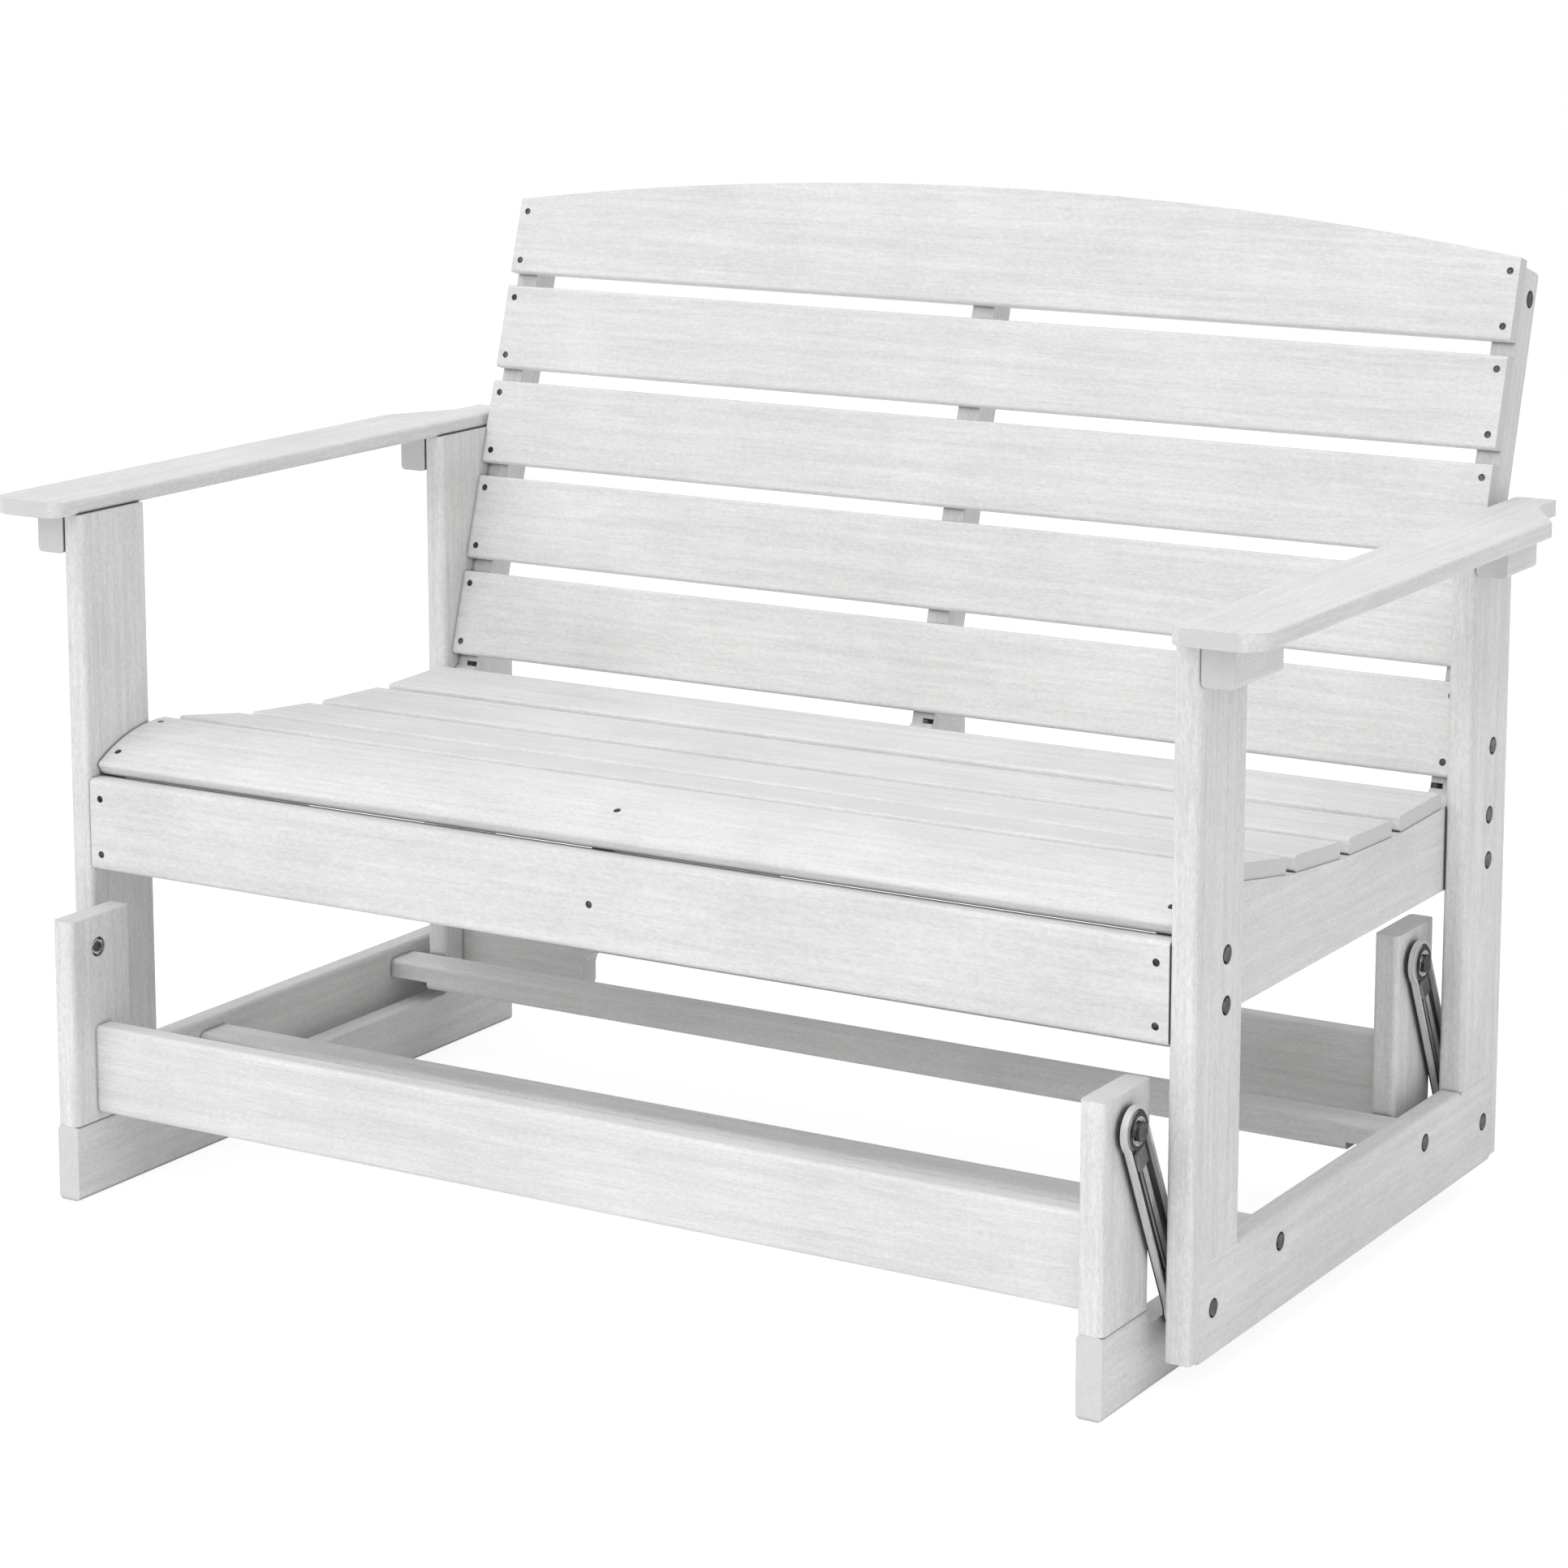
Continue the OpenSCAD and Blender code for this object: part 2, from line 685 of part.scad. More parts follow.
module rear_leg(side) {
    leg(side, rear_leg_y, rear_leg_y - over, frame_d - lap_stop, pivot_y + pivot_span,
        [leg_bolts[2], leg_bolts[3], support_bolt]);
}

module side_rail(side) {
    color(white) placed() on_side(side) difference() {
        intersection() {
            union() {
                lengthwise(leg_in, leg_x, lap_stop, frame_d - lap_stop, side_rail_z, side_rail_top);
                for (y = [lap_stop, rear_leg_y])
                    block([lap_x, y, side_rail_z + edge_r], [leg_x, y + leg_w - lap_stop, side_rail_top]);
            }
            across(leg_in, leg_x) {
                translate([lap_stop + tongue_r, side_rail_z])
                    square([frame_d - 2 * lap_stop - 2 * tongue_r, side_rail_h]);
                translate([lap_stop, side_rail_z + tongue_r])
                    square([frame_d - 2 * lap_stop, side_rail_h - tongue_r]);
                for (y = [lap_stop + tongue_r, frame_d - lap_stop - tongue_r])
                    translate([y, side_rail_z + tongue_r]) circle(tongue_r, $fn = 32);
            }
        }
        block([leg_in - over, lap_stop - over, side_rail_z - over], [lap_x, leg_w, side_rail_top + over]);
        block([leg_in - over, rear_leg_y, side_rail_z - over], [lap_x, frame_d, side_rail_top + over]);
        for (y = [pivot_y, pivot_y + pivot_span]) {
            rod_x(leg_in - over, leg_x + over, y, low_z, pivot_hole_r);
            rod_x(leg_x - bolt_recess, leg_x + over, y, low_z, bolt_recess_d / 2);
        }
        for (y = [middle_stretcher_y, rear_stretcher_y])
            bolt_hole(leg_in, leg_x, y + stretcher_w / 2, stretcher_z + stretcher_h / 2);
    }
}

// Flat stretcher between the side rails, notched underneath where it passes over the runners
notch_margin = 5.5;
module stretcher(y0) {
    color(white) placed() difference() {
        crosswise(-leg_in, leg_in, y0, y0 + stretcher_w, stretcher_z, stretcher_z + stretcher_h);
        both_sides() {
            block([post_in - notch_margin, y0 - over, stretcher_z - over],
                [leg_in + over, y0 + stretcher_w + over, stretcher_notch_z]);
            rod_x(leg_in - lag_len, leg_in + over, y0 + stretcher_w / 2, stretcher_z + stretcher_h / 2,
                bolt_hole_r);
        }
    }
}

module lower_pivot_bolts() {
    color(steel) placed() both_sides() for (y = [pivot_y, pivot_y + pivot_span]) {
        rod_x(bearing_x - axial_play - low_nut_t - low_bolt_end, leg_x - bolt_recess + washer_t, y, low_z,
            pivot_d / 2);
        rod_x(leg_x - bolt_recess, leg_x - bolt_recess + washer_t, y, low_z, washer_r);
        hex_x(leg_x - bolt_recess + washer_t, leg_x - bolt_recess + washer_t + head_h, y, low_z, nut_r);
    }
}

module lower_pivot_nuts() {
    color(bright) placed() both_sides() for (y = [pivot_y, pivot_y + pivot_span]) difference() {
        hex_x(bearing_x - axial_play - low_nut_t, bearing_x - axial_play, y, low_z, nut_r);
        rod_x(post_x, bearing_x + over, y, low_z, pivot_d / 2 + running_fit);
    }
}

module lower_pivot_spacers() {
    color(bright) placed() both_sides() for (y = [pivot_y, pivot_y + pivot_span]) difference() {
        rod_x(collar_x + axial_play, leg_in, y, low_z, spacer_r);
        rod_x(collar_x - over, leg_in + over, y, low_z, pivot_d / 2 + running_fit);
    }
}

// Side view of a seat rail: crowned front, a facet under each slat, and the tail
ramp_rise = 12;
front_overlap = 40;
tail_inset = 4;
module seat_rail_profile() {
    tail_y = back_y + support_front / cos(recline) + (seat_z + tail_h - back_z) * tan(recline);
    ramp_z = seat_end[1] + ramp_rise;
    front_y = seat_start - front_overlap;
    back_end = frame_d - tail_inset;
    ramp_y = back_y + support_front / cos(recline) + (ramp_z - back_z) * tan(recline);
    intersection() {
        translate([crown_y, crown_z]) circle(crown_in, $fn = 180);
        translate([board_t, seat_z]) square([seat_start - board_t, crown_r]);
    }
    polygon(concat([[front_y, seat_z], [back_end, seat_z], [back_end, seat_z + tail_h],
        [tail_y, seat_z + tail_h], [ramp_y, ramp_z]], [for (i = [4:-1:0]) facet(i)],
        [[front_y, crown_z + sqrt(pow(crown_in, 2) - pow(front_y - crown_y, 2))]]));
}

// The part of a back support that is let into the seat rail's tail
module support_foot(x0, x1) {
    on_back() block([x0, support_front, foot_s], [x1, support_back, back_z]);
}

// A seat rail from x0 to x1, whose tail is cut away from foot0 to foot1 for a back support's foot
module seat_rail(x0, x1, foot0, foot1, bolts, apron_heights) {
    difference() {
        across(x0, x1) seat_rail_profile();
        support_foot(foot0, foot1);
        for (b = bolts) {
            rod_x(x0 - over, x1 + over, b[0], b[1], bolt_hole_r);
            rod_x(x0 - over, x0 + nut_recess, b[0], b[1], nut_recess_r);
        }
        for (z = apron_heights)
            translate([(x0 + x1) / 2, board_t - over, z]) rotate([-90, 0, 0])
                cylinder(h = screw_len, r = screw_hole_r, $fn = 24);
    }
}

apron_screw_heights = [seat_z + apron_screw_low, seat_z + apron_screw_high];
apron_middle_height = seat_z + apron_screw_middle;
apron_drop = 2;

module side_seat_rail(side) {
    color(white) placed() difference() {
        on_side(side) seat_rail(seat_in, leg_in, seat_in - over, (seat_in + leg_in) / 2, leg_bolts,
            apron_screw_heights);
        seat_holes();
        at_back_screws(back_count) pilot_hole();
    }
}

module seat_rail_centre() {
    color(white) placed() difference() {
        seat_rail(-board_t / 2, board_t / 2, 0, board_t / 2 + over, [], [apron_middle_height]);
        seat_holes();
    }
}

module front_apron() {
    color(white) placed() difference() {
        crosswise(-leg_in, leg_in, 0, board_t, seat_z - apron_drop, seat_z - apron_drop + apron_h);
        at_apron_screws() screw_hole(board_t);
    }
}

// Two screws into each side seat rail and one into the centre one
module at_apron_screws() {
    both_sides() for (z = apron_screw_heights)
        translate([seat_screw_x, 0, z]) rotate([90, 0, 0]) children();
    translate([0, 0, apron_middle_height]) rotate([90, 0, 0]) children();
}

slat_x = leg_in - slat_end_gap;

// The front slat follows the crown; its corners are rounded like the other slats' edges
module crown_slat_profile() {
    e = slat_edge_r;
    translate([crown_y, crown_z]) {
        intersection() {
            difference() {
                circle(crown_r, $fn = 180);
                circle(crown_in, $fn = 180);
            }
            crown_wedge(e);
        }
        intersection() {
            difference() {
                circle(crown_r - e, $fn = 180);
                circle(crown_in + e, $fn = 180);
            }
            crown_wedge(0);
        }
        for (r = [crown_in + e, crown_r - e]) {
            inset = asin(e / r);
            for (turn = [crown_front + inset, crown_back - inset])
                rotate(-turn) translate([0, r]) circle(e, $fn = 24);
        }
    }
}

// The space between the front slat's two end faces, each drawn in by inset
module crown_wedge(inset) {
    far = 2 * crown_r;
    intersection() {
        rotate(-crown_front) translate([inset, 0]) square([far, far]);
        rotate(-crown_back) translate([-far - inset, 0]) square([far, far]);
    }
}

module seat_slat(i) {
    color(white) placed() difference() {
        if (i == 1) across(-slat_x, slat_x) crown_slat_profile();
        else on_slat(i, seat_slat_w / 2) translate([0, 0, -slat_t / 2])
            across(-slat_x, slat_x) rounded(seat_slat_w, slat_t, slat_edge_r);
        if (i == 1) at_seat_screws() screw_hole(slat_t + 3);
        else at_seat_pins(i) translate([0, 0, -slat_t - over])
            cylinder(h = slat_t + over - seat_pin_cover, r = screw_hole_r, $fn = 24);
    }
}

// Back

// A back support from x0 to x1; below the tail's top it keeps only the half from foot0 to foot1
module back_support(x0, x1, foot0, foot1, end_s) {
    r = support_corner_r;
    depth = support_back - support_front;
    intersection() {
        on_back() across(x0, x1) {
            translate([support_front, foot_s]) square([depth - r, end_s - foot_s]);
            translate([support_front, foot_s]) square([depth, end_s - foot_s - r]);
            translate([support_back - r, end_s - r]) circle(r, $fn = 32);
        }
        union() {
            block([x0 - over, 0, seat_z + tail_h], [x1 + over, 2 * frame_d, 3 * seat_z]);
            block([foot0, 0, seat_z], [foot1, 2 * frame_d, seat_z + tail_h + over]);
        }
    }
}

top_rail_drop = 6;
top_rail_sink = 0.4;
top_rail_s = support_end_s - top_rail_drop - stretcher_w;

module side_back_support(side) {
    color(white) placed() difference() {
        on_side(side) difference() {
            back_support(seat_in, leg_in, seat_in - over, (seat_in + leg_in) / 2, support_end_s);
            for (b = concat(leg_bolts, [support_bolt])) {
                rod_x(seat_in - over, leg_in + over, b[0], b[1], bolt_hole_r);
                rod_x(seat_in - over, seat_in + nut_recess, b[0], b[1], nut_recess_r);
            }
            on_back() bolt_hole(seat_in, leg_in, top_rail_mid_y, top_rail_mid_s);
        }
        for (i = [1:back_count]) at_back_screws(i) pilot_hole();
    }
}

module back_support_centre() {
    color(white) placed() back_support(-board_t / 2, board_t / 2, 0, board_t / 2 + over, top_rail_s);
}

// Cross rail between the side supports, behind the top slat
top_rail_back = support_back - top_rail_sink;
top_rail_mid_y = top_rail_back - stretcher_h / 2;
top_rail_mid_s = top_rail_s + stretcher_w / 2;
module back_top_rail() {
    color(white) placed() on_back() difference() {
        crosswise(-seat_in, seat_in, top_rail_back - stretcher_h, top_rail_back,
            top_rail_s, top_rail_s + stretcher_w);
        both_sides() rod_x(seat_in - lag_len, seat_in + over, top_rail_mid_y, top_rail_mid_s, bolt_hole_r);
    }
}

// Back slats count from the top; the first one carries the arch
module back_slat(i) {
    start_s = (back_count - i) * back_pitch;
    color(white) placed() difference() {
        on_back() {
            if (i == 1) top_slat(start_s);
            else crosswise_slat(start_s, back_slat_w);
        }
        at_back_screws(i) screw_hole(slat_t + 3);
    }
}

module crosswise_slat(start_s, width) {
    across(-leg_in, leg_in) translate([slat_t / 2, start_s + width / 2]) rounded(slat_t, width, slat_edge_r);
}

module top_slat(start_s) {
    intersection() {
        across(-leg_in, leg_in) translate([slat_t / 2, start_s + back_slat_w])
            rounded(slat_t, 2 * back_slat_w, slat_edge_r);
        translate([0, slat_t + over, start_s + top_slat_w + arch_rise - arch_r]) rotate([90, 0, 0])
            cylinder(h = slat_t + 2 * over, r = arch_r, $fn = 720);
    }
}

// Arms

arm_in = leg_in + arm_inset;
arm_hole = 11;

module armrest(side) {
    color(white) placed() on_side(side) difference() {
        intersection() {
            translate([arm_in + arm_w / 2, -arm_overhang, arm_z + arm_t / 2]) rotate([-90, 0, 0])
                linear_extrude(arm_len) rounded(arm_w, arm_t, slat_edge_r);
            translate([arm_in, -arm_overhang, arm_z]) linear_extrude(arm_t) arm_plan();
        }
        at_arm_screws() translate([0, 0, -over]) cylinder(h = arm_hole + over, r = screw_hole_r, $fn = 24);
    }
}

// Outline of an arm from above, with its inner front corner at the origin
module arm_plan() {
    b = arm_rear_r;
    translate([arm_inner_r, 0]) square([arm_w - arm_inner_r - arm_outer_r, arm_len - b]);
    translate([0, arm_inner_r]) square([arm_w / 2, arm_len - arm_inner_r - b]);
    translate([arm_w / 2, arm_outer_r]) square([arm_w / 2, arm_len - arm_outer_r - b]);
    translate([b, arm_len - 2 * b]) square([arm_w - 2 * b, 2 * b]);
    translate([arm_inner_r, arm_inner_r]) circle(arm_inner_r, $fn = 64);
    translate([arm_w - arm_outer_r, arm_outer_r]) circle(arm_outer_r, $fn = 64);
    for (x = [b, arm_w - b]) translate([x, arm_len - b]) circle(b, $fn = 48);
}

cleat_x = leg_x + cleat_t;
cleat_recess = 8;
cleat_screw_edge = 22;

// Screws that rise through a cleat into the arm
module at_arm_screws() {
    for (y = [cleat_screw_edge, leg_w - cleat_screw_edge,
        rear_leg_y + cleat_screw_edge, rear_leg_y + rear_cleat_w - cleat_screw_edge])
        translate([leg_x + cleat_t / 2, y, arm_z]) children();
}

module cleats(y0, y1) {
    color(white) placed() both_sides() difference() {
        lengthwise(leg_x, cleat_x, y0, y1, arm_z - cleat_h, arm_z);
        at_arm_screws() {
            translate([0, 0, -cleat_h - over]) cylinder(h = cleat_h + 2 * over, r = screw_hole_r, $fn = 24);
            translate([0, 0, -cleat_h - over])
                cylinder(h = over + cleat_recess, d = screw_recess_d, $fn = 32);
        }
    }
}

module arm_cleats_front() {
    cleats(0, leg_w);
}

module arm_cleats_rear() {
    cleats(rear_leg_y, rear_leg_y + rear_cleat_w);
}

// Fasteners of the seat frame

// Bolts through the legs into the seat rails and back supports, heads sunk in the legs
module frame_bolts() {
    color(steel) placed() both_sides() for (b = concat(leg_bolts, [support_bolt])) {
        rod_x(seat_in, leg_x - bolt_recess + washer_t, b[0], b[1], bolt_d / 2);
        bolt_head(leg_x, b[0], b[1]);
    }
}

module bolt_head(face_x, y, z) {
    rod_x(face_x - bolt_recess, face_x - bolt_recess + washer_t, y, z, washer_r);
    hex_x(face_x - bolt_recess + washer_t, face_x - bolt_recess + washer_t + head_h, y, z, head_r);
}

module frame_nuts() {
    color(bright) placed() both_sides() for (b = concat(leg_bolts, [support_bolt])) difference() {
        hex_x(seat_in + nut_recess - frame_nut_t, seat_in + nut_recess, b[0], b[1], head_r);
        rod_x(seat_in, seat_in + nut_recess + over, b[0], b[1], bolt_d / 2 + running_fit);
    }
}

// Long screws into the ends of the stretchers and of the back's top rail
module frame_screws() {
    color(steel) placed() both_sides() {
        for (y = [middle_stretcher_y, rear_stretcher_y]) {
            rod_x(leg_in - lag_len + lag_tip_gap, leg_x - bolt_recess + washer_t, y + stretcher_w / 2,
                stretcher_z + stretcher_h / 2, bolt_d / 2);
            bolt_head(leg_x, y + stretcher_w / 2, stretcher_z + stretcher_h / 2);
        }
        on_back() {
            rod_x(seat_in - lag_len + lag_tip_gap, leg_in - bolt_recess + washer_t,
                top_rail_mid_y, top_rail_mid_s, bolt_d / 2);
            bolt_head(leg_in, top_rail_mid_y, top_rail_mid_s);
        }
    }
}

// Screws in the front slat and the apron, and the blind pins under the other slats
module seat_screws() {
    color(steel) placed() {
        at_seat_screws() translate([0, 0, -screw_sink]) screw(screw_len - tip_gap);
        for (i = [2:5]) at_seat_pins(i) translate([0, 0, -seat_pin_cover - seat_pin_len])
            cylinder(h = seat_pin_len, d = screw_d, $fn = 24);
        at_apron_screws() translate([0, 0, -screw_sink]) screw(screw_len - tip_gap);
    }
}

module back_screws() {
    color(steel) placed() for (i = [1:back_count]) at_back_screws(i)
        translate([0, 0, -screw_sink]) screw(screw_len - tip_gap);
}

module arm_screws() {
    color(steel) placed() both_sides() at_arm_screws()
        translate([0, 0, -cleat_h + cleat_recess - screw_head_h]) rotate([180, 0, 0])
            screw(cleat_h - cleat_recess + screw_head_h + arm_hole - tip_gap);
}

runner(-1);  // base_runner_left
runner(1);  // base_runner_right
post(-1, front_post_y, high_y);  // base_post_front_left
post(1, front_post_y, high_y);  // base_post_front_right
post(-1, rear_post_y, high_y + pivot_span);  // base_post_rear_left
post(1, rear_post_y, high_y + pivot_span);  // base_post_rear_right
base_rail_front();
base_rail_rear();
base_screws();
upper_pivot_bolts();
upper_pivot_nuts();
upper_pivot_spacers();
swing_arm(-1, high_y);  // swing_arm_front_left
swing_arm(1, high_y);  // swing_arm_front_right
swing_arm(-1, high_y + pivot_span);  // swing_arm_rear_left
swing_arm(1, high_y + pivot_span);  // swing_arm_rear_right
bearings(-1, high_y);  // bearings_front_left
bearings(1, high_y);  // bearings_front_right
bearings(-1, high_y + pivot_span);  // bearings_rear_left
bearings(1, high_y + pivot_span);  // bearings_rear_right
front_leg(-1);  // front_leg_left
front_leg(1);  // front_leg_right
rear_leg(-1);  // rear_leg_left
rear_leg(1);  // rear_leg_right
side_rail(-1);  // side_rail_left
side_rail(1);  // side_rail_right
stretcher(middle_stretcher_y);  // stretcher_middle
stretcher(rear_stretcher_y);  // stretcher_rear
lower_pivot_bolts();
lower_pivot_nuts();
lower_pivot_spacers();
side_seat_rail(-1);  // seat_rail_left
seat_rail_centre();
side_seat_rail(1);  // seat_rail_right
front_apron();
seat_slat(1);  // seat_slat_1
seat_slat(2);  // seat_slat_2
seat_slat(3);  // seat_slat_3
seat_slat(4);  // seat_slat_4
seat_slat(5);  // seat_slat_5
side_back_support(-1);  // back_support_left
back_support_centre();
side_back_support(1);  // back_support_right
back_top_rail();
back_slat(1);  // back_slat_1
back_slat(2);  // back_slat_2
back_slat(3);  // back_slat_3
back_slat(4);  // back_slat_4
back_slat(5);  // back_slat_5
armrest(-1);  // armrest_left
armrest(1);  // armrest_right
arm_cleats_front();
arm_cleats_rear();
frame_bolts();
frame_nuts();
frame_screws();
seat_screws();
back_screws();
arm_screws();
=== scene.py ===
"""Looks of a glider bench: plastic lumber with a fine grain, steel swing arms, screws and bolts."""
import json
import math

import bmesh
import bpy
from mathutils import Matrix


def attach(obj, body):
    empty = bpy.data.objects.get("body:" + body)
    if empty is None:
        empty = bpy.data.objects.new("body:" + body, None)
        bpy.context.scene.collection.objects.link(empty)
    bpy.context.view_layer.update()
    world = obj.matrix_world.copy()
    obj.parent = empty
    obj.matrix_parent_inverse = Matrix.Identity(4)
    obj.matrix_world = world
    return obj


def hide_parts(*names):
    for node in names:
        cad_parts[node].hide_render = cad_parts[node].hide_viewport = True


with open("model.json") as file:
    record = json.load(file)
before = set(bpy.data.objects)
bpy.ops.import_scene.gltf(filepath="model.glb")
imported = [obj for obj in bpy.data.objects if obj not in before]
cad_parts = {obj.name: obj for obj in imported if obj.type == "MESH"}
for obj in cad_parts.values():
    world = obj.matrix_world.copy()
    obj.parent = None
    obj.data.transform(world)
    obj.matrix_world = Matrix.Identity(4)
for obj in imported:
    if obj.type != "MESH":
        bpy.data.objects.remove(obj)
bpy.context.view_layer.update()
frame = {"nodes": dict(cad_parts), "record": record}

# The camera is fitted to the photographed boards. It is tilted down where the photograph was taken
# level, so that the other views stay centred. Its place is in metres, its angles are in degrees,
# its lens and sensor in millimetres.
CAMERA_PLACE = (2.15966, -3.59319, 1.38583)
CAMERA_YAW = 31.1172
CAMERA_PITCH = 9.8317
CAMERA_LENS = 98.42
CAMERA_SENSOR = 36.0
CAMERA_SHIFT_Y = -0.16

# Colours in linear light
WHITE = (1, 1, 1, 1)
LUMBER_PALE = (0.83, 0.83, 0.825, 1)
LUMBER_DEEP = (0.62, 0.62, 0.615, 1)
LUMBER_END = (0.60, 0.60, 0.595, 1)
# The next colour is painted shade, laid into the narrow gaps between boards
LUMBER_PAINTED_SHADE = (0.16, 0.16, 0.16, 1)
# The next two are the swing arms' painted shade and painted highlight, standing in for the steel's
# reflections
ARM_PAINTED_SHADE = (0.05, 0.05, 0.055, 1)
ARM_PAINTED_HIGHLIGHT = (0.70, 0.70, 0.71, 1)
SCREW_DARK = (0.03, 0.03, 0.035, 1)
SCREW_WORN = (0.16, 0.16, 0.17, 1)
ZINC_DEEP = (0.34, 0.34, 0.35, 1)
ZINC_PALE = (0.95, 0.95, 0.96, 1)

# Pairs of numbers below are the two values between which something changes or varies

# Noise: how rough a plain one is, the detail and roughness of a fine one, and where nearly all of
# its values lie. Then how many rays feel out each point for a near edge or gap.
NOISE_ROUGHNESS = 0.55
FINE_DETAIL = 4
FINE_ROUGHNESS = 0.7
NOISE_SPREAD = (0.3, 0.7)
EDGE_SAMPLES = 4
GAP_SAMPLES = 6

# Each set of lines in the lumber: repeats per metre along and across the grain, detail, roughness
# and its share in the whole. Upright boards show theirs more.
LUMBER_LINES = ((4, 130, 3, NOISE_ROUGHNESS, 0.3),
                (30, 560, FINE_DETAIL, FINE_ROUGHNESS, 0.3),
                (190, 420, 3, FINE_ROUGHNESS, 0.4))
UPRIGHT_STREAK = 1.2
CLOUD_REPEATS = 9.0
CLOUD_DETAIL = 2
CLOUD_SHARE = 0.15
TONE_MIDDLE = 0.5
TONE_HALF = 0.12
LUMBER_ROUGHNESS = (0.46, 0.62)
LUMBER_SPECULAR = 0.3
LUMBER_EDGE = 0.0009
LUMBER_RELIEF = 0.0005
LUMBER_RELIEF_LEVEL = 0.3

# A sawn end is a face whose normal's part along the grain is this large; it is speckled
END_FACING = (0.90, 0.98)
SPECKLE_REPEATS = 900
SPECKLE_DETAIL = 3
SPECKLE_SPREAD = (0.2, 0.8)
SPECKLE_LEVEL = (0.4, 0.9)

# Gaps narrower than about this get painted shade, in metres, between these two shares of open sky
PAINTED_SHADE_REACH = 0.006
PAINTED_SHADE_OPEN = (0.25, 0.75)

# Metals by the record's slot: dark and pale colour, lowest and highest roughness, repeats of the
# fine surface per metre, and its strength. Clouds of wear are WEAR_WIDTH times as wide.
METALS = {"bearing_steel": (ZINC_DEEP, ZINC_PALE, 0.18, 0.30, 900, 0.05),
          "screw_steel": (SCREW_DARK, SCREW_WORN, 0.28, 0.45, 1200, 0.10),
          "zinc_steel": (ZINC_DEEP, ZINC_PALE, 0.25, 0.40, 2200, 0.10)}
METAL_EDGE = 0.0006
METAL_RELIEF = 0.0003
WEAR_WIDTH = 10
WEAR_DETAIL = 3

# The swing arms in the row frame, in metres: their lean and their upper pivots
ARM_LEAN = math.radians(26.6)
ARM_PIVOT_Z = 0.2535
ARM_PIVOT_Y = {"front": -0.411773, "rear": 0.212227}

# Where the arms' inner faces are, out from the middle of the bench, and how far out from there
# their walls take the painted highlight, and their beads, lands, rims and collars begin; half the
# painted highlight line on a bead; and how squarely a face looks sideways to count as flat
ARM_INNER_X = 0.5860
ARM_WALL_RISE = (0.0010, 0.0018)
ARM_BEAD_RISE = (0.0040, 0.0045)
ARM_LAND_RISE = (0.0054, 0.0056)
ARM_RIM_RISE = (0.0066, 0.0068)
ARM_COLLAR_RISE = (0.0081, 0.0083)
ARM_LINE_HALF = (0.0034, 0.0040)
ARM_FLAT = (0.60, 0.95)

# How bright the painted highlight is on the line along a bead and on the lands, and the arms'
# polish
# marks, which run along Y and Z: repeats per metre across and along them, and what they leave of it
ARM_LINE_HIGHLIGHT = 0.9
ARM_LAND_HIGHLIGHT = 0.3
POLISH_REPEATS = (900, 60, 60)
POLISH_DETAIL = 3
POLISH_SPREAD = (0.25, 0.60)
POLISH_LEVEL = (0.75, 1)
ARM_ROUGHNESS = (0.14, 0.24)
ARM_HIGHLIGHT_ROUGHER = 0.3
ARM_HIGHLIGHT_METALLIC = 0.35
ARM_EDGE = 0.0008
ARM_RELIEF_LEVEL = 0.06

# The armrests' rear outer corners are cut off obliquely between these two points, then straight to
# the end; vertices nearer to each other than WELD are one
CORNER_OUT = (0.6950, 0.2601)
CORNER_IN = (0.6500, 0.3401)
WELD = 0.000002

# Light: the plain surroundings, what the steel mirrors of them by the height of the direction, the
# soft key light from the front and above, and the white ground
SKY_LEVEL = (0.50, 0.93)
MIRROR_HEIGHT = (-0.10, 0.75)
MIRROR_LEVEL = (0.35, 1.10)
KEY_LEVEL = 1.2
KEY_SPREAD = math.radians(70)
KEY_TURN = (math.radians(42), 0, math.radians(-12))
FLOOR_HALF = 6.0
FLOOR_COLOUR = (0.99, 0.99, 0.99, 1)
FLOOR_LIFT = 0.75
FLOOR_GLOW = 1.15

# Which way each lumber node's grain runs; the rest of the lumber runs along X. The back leans by
# RECLINE.
GRAIN_ALONG_Y = ("base_runner_left", "base_runner_right", "side_rail_left", "side_rail_right",
                 "seat_rail_left", "seat_rail_centre", "seat_rail_right",
                 "armrest_left", "armrest_right", "arm_cleats_front", "arm_cleats_rear")
GRAIN_ALONG_Z = ("base_post_front_left", "base_post_front_right",
                 "base_post_rear_left", "base_post_rear_right",
                 "front_leg_left", "front_leg_right", "rear_leg_left", "rear_leg_right")
GRAIN_UP_BACK = ("back_support_left", "back_support_centre", "back_support_right")
RECLINE = math.radians(16.7)


